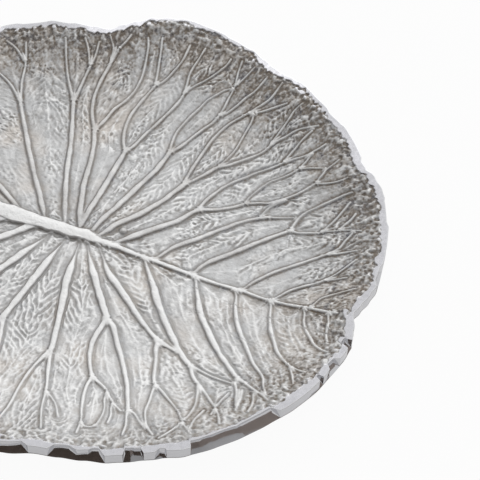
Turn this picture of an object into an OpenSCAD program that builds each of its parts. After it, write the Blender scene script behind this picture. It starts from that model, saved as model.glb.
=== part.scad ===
// Round plate cast in the shape of a cabbage leaf, on four stick-on pads.
// The midrib runs along X with the leaf's tip at +X. The veins spread from a hub near the plate's middle.

/* [Leaf] */
// Radius from the hub of the veins to the outermost lobe of the rim
leaf_r = 155; // [125:1:185]
// Thickness of the casting in its floor and side
wall = 4.5; // [3.5:0.1:6]
// Depth of the well below the rim
well_depth = 15.5; // [11:0.5:20]

/* [Rim] */
// Width of the polished land on top of the rim
land_w = 4.8; // [3.5:0.1:6.5]
// Height of the polished wall outside the rim
band_h = 6.5; // [5:0.1:8]
// Radius that rounds the rim's outer edge
rim_round = 1.2; // [0.8:0.1:1.6]
// How far the rim waves above and below its mean height
rim_wave = 0.8; // [0:0.1:1.5]

/* [Veins] */
// Width of the midrib where the veins meet it
midrib_w = 8.6; // [6:0.2:11]
// Height of the midrib over the leaf
midrib_h = 2.6; // [1.8:0.1:3.4]
// Width of a side vein where it leaves the midrib
vein_w = 4.4; // [3.4:0.1:5.4]
// Height of a side vein over the leaf
vein_h = 1.5; // [1:0.1:2.2]

/* [Pads] */
// Diameter of a pad
pad_d = 14; // [10:0.5:18]
// Thickness of a pad
pad_h = 2; // [1.5:0.1:3]
// Distance from a pad's edge to the edge of the flat that it sticks to
pad_inset = 3; // [1:0.5:8]
// Width of the bevel round a pad's foot
pad_bevel = 0.5; // [0.2:0.1:0.8]

/* [Hidden] */

floor_z = pad_h + wall;
rim_z = floor_z + well_depth;
// A rib's foot is set into the leaf, deeper where the well is deeper and the leaf curves more under it
rib_sink_share = 0.08;
rib_sink = well_depth * rib_sink_share;
// A rib's crest as a share of its foot's width, and the height that a vein of no width would keep
crest_share = 0.45;
stub_sides = 6;
low_vein_share = 0.4;
// Ribs stop at this share of the way from the hub to the rim's land
rib_reach_share = 0.965;

// Rim outline: angle as a share of the turn from the tip, and radius as a share of leaf_r
outline_shares = [
    [0.000, 0.952], [0.006, 0.962], [0.014, 0.976], [0.021, 0.986], [0.035, 0.986], [0.050, 0.989],
    [0.063, 0.991], [0.075, 0.989], [0.086, 0.982], [0.095, 0.969], [0.103, 0.955], [0.110, 0.949],
    [0.120, 0.950], [0.135, 0.949], [0.150, 0.939], [0.163, 0.935], [0.173, 0.938], [0.182, 0.936],
    [0.190, 0.928], [0.197, 0.920], [0.206, 0.928], [0.217, 0.942], [0.230, 0.948], [0.245, 0.951],
    [0.259, 0.956], [0.269, 0.950], [0.279, 0.931], [0.288, 0.902], [0.297, 0.878], [0.305, 0.860],
    [0.315, 0.864], [0.327, 0.882], [0.345, 0.910], [0.368, 0.925], [0.385, 0.914], [0.397, 0.900],
    [0.410, 0.915], [0.430, 0.938], [0.455, 0.940], [0.475, 0.924], [0.486, 0.926], [0.500, 0.936],
    [0.514, 0.926], [0.526, 0.922], [0.545, 0.938], [0.570, 0.941], [0.592, 0.923], [0.606, 0.904],
    [0.620, 0.919], [0.645, 0.935], [0.672, 0.934], [0.690, 0.920], [0.703, 0.906], [0.716, 0.921],
    [0.735, 0.934], [0.760, 0.937], [0.782, 0.922], [0.797, 0.910], [0.810, 0.917], [0.823, 0.928],
    [0.837, 0.944], [0.850, 0.952], [0.862, 0.962], [0.875, 0.980], [0.890, 0.987], [0.905, 0.993],
    [0.920, 0.997], [0.935, 1.004], [0.950, 1.005], [0.962, 1.000], [0.974, 0.999], [0.983, 0.994],
    [0.990, 0.978], [1.000, 0.952]];
// Waves of the rim's height: count in a turn, a crest's share of the turn, height as a share of rim_wave
rim_wave_shares = [[5, 0.09, 0.6], [8, 0.04, 0.4], [13, 0.02, 0.25]];

// Section of the dish: share of the way from the hub to the rim's inner edge where the floor starts to rise
floor_share = 0.47;
// How the side curves up: 1 is a straight slope
side_curve = 1.9;
sectors = 136;
top_shares = [floor_share, 0.57, 0.68, 0.79, 0.90, 1];
under_shares = [0.95, 0.84, 0.70, 0.57, floor_share];
// How far the band leans in towards its foot, as a share of wall
tuck_share = 0.12;

// Smooth value at s from a table of [place share, value share] rows
function row_at(t, s, i = 1) = t[i][0] >= s || i == len(t) - 1 ? i : row_at(t, s, i + 1);
function soft(u) = u * u * (3 - 2 * u);
function table_at(t, s) = let(i = row_at(t, s), u = (s - t[i-1][0]) / (t[i][0] - t[i-1][0]))
    t[i-1][1] + (t[i][1] - t[i-1][1]) * soft(u);
function turn_share(a) = let(s = a / 360) s - floor(s);

function rim_r(a) = leaf_r * table_at(outline_shares, turn_share(a));
function rim_top(a) = rim_z
    + rim_wave * sum([for (w = rim_wave_shares) w[2] * cos(w[0] * (a - 360 * w[1]))]);
function sum(v, i = 0) = i < len(v) ? v[i] + sum(v, i + 1) : 0;

// Height of the leaf's upper face at share s of the way out at angle a
function leaf_top(a, s) = let(u = max(0, (s - floor_share) / (1 - floor_share)))
    floor_z + (rim_top(a) - floor_z) * pow(u, side_curve);
function inner_r(a) = rim_r(a) - land_w;
function ring(r, z) = [
    for (i = [0 : sectors - 1]) let(a = 360 * i / sectors) [r(a) * cos(a), r(a) * sin(a), z(a)]];

// A rounded edge's middle lies this far in from both of its faces
round_step = rim_round * (1 - sin(45));

rings = concat(
    [for (s = top_shares) ring(function (a) inner_r(a) * s, function (a) leaf_top(a, s))],
    [ring(function (a) rim_r(a) - rim_round, function (a) rim_top(a)),
     ring(function (a) rim_r(a) - round_step, function (a) rim_top(a) - round_step),
     ring(function (a) rim_r(a), function (a) rim_top(a) - rim_round),
     ring(function (a) rim_r(a) - wall * tuck_share, function (a) rim_top(a) - band_h)],
    [for (s = under_shares) ring(function (a) inner_r(a) * s, function (a) leaf_top(a, s) - wall)]);

module dish() {
    n = len(rings);
    points = concat([for (r = rings) each r], [[0, 0, floor_z], [0, 0, pad_h]]);
    hub = n * sectors;
    function at(k, i) = k * sectors + i % sectors;
    faces = concat(
        [for (i = [0 : sectors - 1]) [hub, at(0, i + 1), at(0, i)]],
        [for (k = [0 : n - 2], i = [0 : sectors - 1]) each
            [[at(k, i), at(k, i + 1), at(k + 1, i + 1)], [at(k, i), at(k + 1, i + 1), at(k + 1, i)]]],
        [for (i = [0 : sectors - 1]) [at(n - 1, i), at(n - 1, i + 1), hub + 1]]);
    polyhedron(points, faces);
}

// A vein: width at its start and end as shares of vein_w, then its course as shares of leaf_r
vein_shares = [
    // Side veins on the left of the midrib, from the tip back to the stalk
    [0.50, 0.30, [[0.790, 0.000], [0.838, 0.070], [0.905, 0.115]]],
    [0.60, 0.30, [[0.668, 0.000], [0.720, 0.065], [0.783, 0.115], [0.827, 0.170], [0.860, 0.232]]],
    [0.70, 0.30, [[0.553, 0.003], [0.600, 0.083], [0.660, 0.145], [0.755, 0.225], [0.845, 0.270]]],
    [0.90, 0.75, [[0.380, 0.008], [0.422, 0.090], [0.505, 0.190], [0.605, 0.295]]],
    [0.55, 0.30, [[0.605, 0.295], [0.700, 0.308], [0.755, 0.333], [0.840, 0.350]]],
    [0.55, 0.30, [[0.605, 0.295], [0.628, 0.378], [0.695, 0.450], [0.740, 0.490]]],
    [0.90, 0.60, [[0.242, 0.011], [0.306, 0.117], [0.400, 0.228], [0.510, 0.320], [0.590, 0.348]]],
    [1.00, 0.80, [[0.085, 0.012], [0.190, 0.130], [0.250, 0.200], [0.290, 0.267]]],
    [0.65, 0.40, [[0.290, 0.267], [0.322, 0.377], [0.405, 0.480], [0.550, 0.600], [0.580, 0.650]]],
    [0.70, 0.35, [[0.290, 0.267], [0.400, 0.328], [0.522, 0.395], [0.600, 0.467], [0.690, 0.540]]],
    [0.50, 0.40, [[0.420, 0.347], [0.440, 0.415], [0.490, 0.495], [0.615, 0.560]]],
    [1.00, 0.85, [[0.028, 0.012], [0.100, 0.140], [0.167, 0.260], [0.208, 0.364]]],
    [0.65, 0.35, [[0.208, 0.364], [0.200, 0.467], [0.218, 0.600], [0.300, 0.722], [0.333, 0.800]]],
    [0.75, 0.35, [[0.208, 0.364], [0.272, 0.455], [0.388, 0.560], [0.457, 0.668], [0.515, 0.702]]],
    [0.50, 0.30, [[0.405, 0.600], [0.422, 0.710], [0.440, 0.768]]],
    [1.00, 0.85, [[0.008, 0.012], [0.040, 0.170], [0.075, 0.310], [0.098, 0.456]]],
    [0.60, 0.30, [[0.098, 0.456], [0.083, 0.547], [0.113, 0.680], [0.190, 0.775]]],
    [0.65, 0.30, [[0.098, 0.456], [0.163, 0.590], [0.193, 0.690], [0.193, 0.775], [0.175, 0.860]]],
    [0.50, 0.30, [[0.185, 0.640], [0.248, 0.747], [0.272, 0.805]]],
    [1.00, 0.85, [[-0.028, 0.012], [-0.035, 0.200], [-0.037, 0.300], [-0.040, 0.405]]],
    [0.65, 0.50, [[-0.040, 0.405], [-0.088, 0.520], [-0.085, 0.600], [-0.065, 0.690]]],
    [0.45, 0.25, [[-0.065, 0.690], [-0.100, 0.810], [-0.128, 0.872]]],
    [0.45, 0.25, [[-0.065, 0.690], [-0.025, 0.790], [-0.020, 0.885]]],
    [0.65, 0.50, [[-0.040, 0.405], [-0.010, 0.500], [0.016, 0.587], [0.040, 0.690]]],
    [0.45, 0.25, [[0.040, 0.690], [0.025, 0.780], [0.035, 0.890]]],
    [0.45, 0.25, [[0.040, 0.690], [0.085, 0.770], [0.135, 0.870]]],
    [1.00, 0.85, [[-0.022, 0.015], [-0.090, 0.190], [-0.130, 0.330], [-0.176, 0.455]]],
    [0.65, 0.35, [[-0.176, 0.455], [-0.232, 0.560], [-0.235, 0.700], [-0.225, 0.810]]],
    [0.65, 0.30, [[-0.176, 0.455], [-0.130, 0.600], [-0.120, 0.700], [-0.150, 0.820], [-0.168, 0.852]]],
    [1.00, 0.80, [[-0.075, 0.015], [-0.160, 0.200], [-0.230, 0.380], [-0.290, 0.520]]],
    [0.60, 0.30, [[-0.290, 0.520], [-0.300, 0.620], [-0.295, 0.700], [-0.308, 0.762]]],
    [0.60, 0.30, [[-0.290, 0.520], [-0.370, 0.630], [-0.420, 0.735]]],
    [1.00, 0.80, [[-0.140, 0.010], [-0.280, 0.200], [-0.380, 0.340], [-0.450, 0.440]]],
    [0.60, 0.30, [[-0.450, 0.440], [-0.500, 0.570], [-0.540, 0.675]]],
    [0.60, 0.30, [[-0.450, 0.440], [-0.570, 0.520], [-0.650, 0.555]]],
    [1.00, 0.80, [[-0.215, 0.010], [-0.410, 0.130], [-0.550, 0.250]]],
    [0.60, 0.30, [[-0.550, 0.250], [-0.660, 0.360], [-0.740, 0.430]]],
    [0.60, 0.30, [[-0.550, 0.250], [-0.700, 0.280], [-0.815, 0.310]]],
    [0.90, 0.35, [[-0.320, 0.010], [-0.560, 0.090], [-0.710, 0.130], [-0.845, 0.160]]],
    // Side veins on its right
    [0.45, 0.30, [[0.860, 0.000], [0.885, -0.050], [0.905, -0.075]]],
    [0.55, 0.30, [[0.775, 0.000], [0.810, -0.065], [0.870, -0.130], [0.910, -0.150]]],
    [0.65, 0.30, [[0.660, 0.000], [0.700, -0.085], [0.770, -0.190], [0.860, -0.245]]],
    [0.75, 0.30, [[0.538, 0.003], [0.580, -0.080], [0.660, -0.190], [0.750, -0.285], [0.810, -0.370]]],
    [0.90, 0.45, [[0.400, 0.006], [0.475, -0.120], [0.600, -0.252], [0.705, -0.340]]],
    [0.50, 0.30, [[0.705, -0.340], [0.733, -0.415], [0.760, -0.500]]],
    [0.50, 0.30, [[0.705, -0.340], [0.800, -0.380], [0.830, -0.415]]],
    [1.00, 0.65, [[0.215, 0.010], [0.320, -0.120], [0.410, -0.220], [0.520, -0.320]]],
    [0.55, 0.30, [[0.520, -0.320], [0.617, -0.355], [0.700, -0.365]]],
    [0.60, 0.30, [[0.520, -0.320], [0.594, -0.400], [0.690, -0.480], [0.730, -0.540]]],
    [0.45, 0.30, [[0.594, -0.400], [0.625, -0.490], [0.615, -0.600]]],
    [1.00, 0.55, [[0.050, 0.005], [0.170, -0.115], [0.290, -0.205], [0.410, -0.280], [0.480, -0.295]]],
    [0.60, 0.30, [[0.410, -0.290], [0.440, -0.385], [0.472, -0.450], [0.590, -0.533]]],
    [0.50, 0.30, [[0.472, -0.450], [0.490, -0.555], [0.540, -0.680]]],
    [1.00, 0.85, [[0.010, 0.005], [0.085, -0.100], [0.150, -0.185], [0.215, -0.265]]],
    [0.65, 0.55, [[0.215, -0.265], [0.212, -0.350], [0.235, -0.430], [0.280, -0.500]]],
    [0.45, 0.30, [[0.280, -0.500], [0.286, -0.572], [0.330, -0.680], [0.350, -0.770]]],
    [0.45, 0.30, [[0.280, -0.500], [0.340, -0.528], [0.394, -0.578], [0.440, -0.600]]],
    [0.75, 0.30, [[0.215, -0.265], [0.295, -0.350], [0.367, -0.444], [0.442, -0.590], [0.480, -0.700]]],
    [1.00, 0.80, [[-0.010, 0.000], [0.030, -0.180], [0.080, -0.340], [0.110, -0.450]]],
    [0.60, 0.30, [[0.110, -0.450], [0.170, -0.600], [0.240, -0.770]]],
    [0.60, 0.30, [[0.110, -0.450], [0.090, -0.620], [0.100, -0.820]]],
    [1.00, 0.80, [[-0.050, 0.000], [-0.070, -0.200], [-0.090, -0.390]]],
    [0.60, 0.30, [[-0.090, -0.390], [-0.040, -0.560], [-0.030, -0.820]]],
    [0.60, 0.30, [[-0.090, -0.390], [-0.150, -0.560], [-0.180, -0.810]]],
    [1.00, 0.80, [[-0.100, 0.000], [-0.180, -0.200], [-0.260, -0.400]]],
    [0.60, 0.30, [[-0.260, -0.400], [-0.290, -0.580], [-0.330, -0.740]]],
    [0.60, 0.30, [[-0.260, -0.400], [-0.370, -0.560], [-0.460, -0.690]]],
    [1.00, 0.80, [[-0.165, 0.000], [-0.310, -0.180], [-0.430, -0.320]]],
    [0.60, 0.30, [[-0.430, -0.320], [-0.500, -0.460], [-0.580, -0.600]]],
    [0.60, 0.30, [[-0.430, -0.320], [-0.570, -0.410], [-0.680, -0.490]]],
    [1.00, 0.80, [[-0.250, 0.000], [-0.450, -0.130], [-0.580, -0.220]]],
    [0.60, 0.30, [[-0.580, -0.220], [-0.700, -0.320], [-0.780, -0.390]]],
    [0.60, 0.30, [[-0.580, -0.220], [-0.720, -0.250], [-0.825, -0.265]]],
    [0.90, 0.35, [[-0.340, 0.000], [-0.590, -0.080], [-0.730, -0.115], [-0.850, -0.136]]]];
// The midrib: course as shares of leaf_r, then its width and height as shares of midrib_w and midrib_h
midrib_shares = [
    [-0.880, 0.000, 1.60, 0.15], [-0.800, 0.000, 1.60, 0.70], [-0.650, 0.000, 1.50, 1.00],
    [-0.400, 0.004, 1.35, 1.00], [-0.180, 0.008, 1.20, 1.00], [0.000, 0.010, 1.00, 1.00],
    [0.100, 0.012, 0.72, 0.90], [0.250, 0.011, 0.52, 0.80], [0.450, 0.006, 0.42, 0.70],
    [0.650, 0.000, 0.34, 0.60], [0.880, 0.000, 0.22, 0.40]];

// Height of the leaf's upper face at a place in plan
function place_angle(p) = atan2(p[1], p[0]);
function face_z(p) = let(a = place_angle(p)) leaf_top(a, min(1, norm([p[0], p[1]]) / inner_r(a)));

// A place on the leaf from shares of leaf_r, moved in where it would reach the land
function place(share) = let(
    p = [share[0], share[1]] * leaf_r,
    reach = inner_r(place_angle(p)) * rib_reach_share) p * min(1, reach / norm(p));

// One station of a rib: a low six-sided stub set into the leaf
module stub(p, w, h) {
    translate([p[0], p[1], face_z(p) - rib_sink])
        cylinder(d1 = w, d2 = w * crest_share, h = h + rib_sink, $fn = stub_sides);
}

// A rib along stations [place, width, height]
module rib(stations) {
    for (i = [1 : len(stations) - 1]) hull() for (s = [stations[i-1], stations[i]]) stub(s[0], s[1], s[2]);
}

function blend(low, k) = low + (1 - low) * k;

module side_vein(v) {
    course = v[2];
    last = len(course) - 1;
    rib([for (i = [0 : last]) let(k = v[0] + (v[1] - v[0]) * i / last)
        [place(course[i]), vein_w * k, vein_h * blend(low_vein_share, k)]]);
}

module midrib() {
    rib([for (m = midrib_shares) [place(m), midrib_w * m[2], midrib_h * m[3]]]);
}

// The outline's middle, which the whole part is moved to so that it lies over the origin
outline = ring(function (a) rim_r(a), function (a) 0);
function middle(axis) = let(v = [for (p = outline) p[axis]]) (min(v) + max(v)) / 2;
to_middle = [-middle(0), -middle(1), 0];

module leaf_casting() {
    color([0.78, 0.77, 0.75]) translate(to_middle) union() {
        dish();
        midrib();
        for (v = vein_shares) side_vein(v);
    }
}

// The pads lie halfway between X and Y, as far out as the flat under the floor is wide at all four
pad_turns = [45, 135, 225, 315];
flat_r = min([for (a = pad_turns) inner_r(a)]) * floor_share;
pad_reach = flat_r - pad_inset - pad_d / 2;

// A round rubber pad with a bevelled foot, stuck to the flat
module pad(turn) {
    color([0.35, 0.35, 0.36]) translate(to_middle) rotate(turn) translate([pad_reach, 0, 0])
        rotate_extrude() polygon([
            [0, 0], [pad_d / 2 - pad_bevel, 0], [pad_d / 2, pad_bevel], [pad_d / 2, pad_h], [0, pad_h]]);
}

leaf_casting();
pad(pad_turns[0]);  // pad_tip_left
pad(pad_turns[3]);  // pad_tip_right
pad(pad_turns[1]);  // pad_stalk_left
pad(pad_turns[2]);  // pad_stalk_right
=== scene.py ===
import math

import bpy
import numpy as np
from mathutils import Matrix, Vector


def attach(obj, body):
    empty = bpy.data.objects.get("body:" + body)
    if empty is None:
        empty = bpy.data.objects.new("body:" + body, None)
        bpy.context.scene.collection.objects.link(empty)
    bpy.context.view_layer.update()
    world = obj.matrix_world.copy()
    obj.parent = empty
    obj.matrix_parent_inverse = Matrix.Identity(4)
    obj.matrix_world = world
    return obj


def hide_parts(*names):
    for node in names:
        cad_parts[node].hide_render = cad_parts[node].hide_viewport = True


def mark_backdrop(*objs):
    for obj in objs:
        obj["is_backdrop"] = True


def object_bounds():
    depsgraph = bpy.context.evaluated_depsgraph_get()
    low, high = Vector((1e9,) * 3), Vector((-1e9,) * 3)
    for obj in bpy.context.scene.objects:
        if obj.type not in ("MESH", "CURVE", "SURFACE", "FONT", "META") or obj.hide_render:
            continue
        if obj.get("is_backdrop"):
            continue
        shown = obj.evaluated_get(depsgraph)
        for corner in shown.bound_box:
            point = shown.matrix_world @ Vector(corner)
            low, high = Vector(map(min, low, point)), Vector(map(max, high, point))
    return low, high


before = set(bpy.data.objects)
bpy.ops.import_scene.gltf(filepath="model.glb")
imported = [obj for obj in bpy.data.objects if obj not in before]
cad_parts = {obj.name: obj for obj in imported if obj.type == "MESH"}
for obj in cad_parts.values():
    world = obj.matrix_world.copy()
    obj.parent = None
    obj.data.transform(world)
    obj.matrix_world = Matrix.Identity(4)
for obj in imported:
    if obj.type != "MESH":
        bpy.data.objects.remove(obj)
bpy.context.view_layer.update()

# The leaf's face
# The plate is one aluminium casting poured in sand. Its face is a cabbage leaf in relief: a midrib, forked veins and
# pillowed panels with finer herringbone veins. A brown patina is rubbed in and wiped off the high places. The relief
# is too fine and irregular for edit mode, so it is carved in code and laid on nine grids, three by three.
MM = 0.001
# Sizes in mm: the hub's place, the leaf's radius, the floor's and the rim's height, the rim's land and ground band
hub = (-3.984, -1.460)
leaf_r = 155.0
floor_z, rim_z = 6.5, 22.0
land_w, band_h = 4.8, 6.5
# The floor's share of the radius, and the power of the curve by which the side rises from it
floor_share, side_curve = 0.47, 1.9
# The rim's waves: how many to a turn, the first one's share of the turn, and height
rim_waves = ((5, 0.09, 0.6), (8, 0.04, 0.4), (13, 0.02, 0.25))
# The face ends this far inside the wall, and the ground skin lies this much in from and below the solid's edge
seam_in, skin_in, skin_down = 0.55, 0.1, 0.03
# Rim outline: share of the turn from the tip, and radius as a share of leaf_r
outline_shares = np.array([
    (0.000, 0.952), (0.006, 0.962), (0.014, 0.976), (0.021, 0.986), (0.035, 0.986), (0.050, 0.989),
    (0.063, 0.991), (0.075, 0.989), (0.086, 0.982), (0.095, 0.969), (0.103, 0.955), (0.110, 0.949),
    (0.120, 0.950), (0.135, 0.949), (0.150, 0.939), (0.163, 0.935), (0.173, 0.938), (0.182, 0.936),
    (0.190, 0.928), (0.197, 0.920), (0.206, 0.928), (0.217, 0.942), (0.230, 0.948), (0.245, 0.951),
    (0.259, 0.956), (0.269, 0.950), (0.279, 0.931), (0.288, 0.902), (0.297, 0.878), (0.305, 0.860),
    (0.315, 0.864), (0.327, 0.882), (0.345, 0.910), (0.368, 0.925), (0.385, 0.914), (0.397, 0.900),
    (0.410, 0.915), (0.430, 0.938), (0.455, 0.940), (0.475, 0.924), (0.486, 0.926), (0.500, 0.936),
    (0.514, 0.926), (0.526, 0.922), (0.545, 0.938), (0.570, 0.941), (0.592, 0.923), (0.606, 0.904),
    (0.620, 0.919), (0.645, 0.935), (0.672, 0.934), (0.690, 0.920), (0.703, 0.906), (0.716, 0.921),
    (0.735, 0.934), (0.760, 0.937), (0.782, 0.922), (0.797, 0.910), (0.810, 0.917), (0.823, 0.928),
    (0.837, 0.944), (0.850, 0.952), (0.862, 0.962), (0.875, 0.980), (0.890, 0.987), (0.905, 0.993),
    (0.920, 0.997), (0.935, 1.004), (0.950, 1.005), (0.962, 1.000), (0.974, 0.999), (0.983, 0.994),
    (0.990, 0.978), (1.000, 0.952)])
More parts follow.
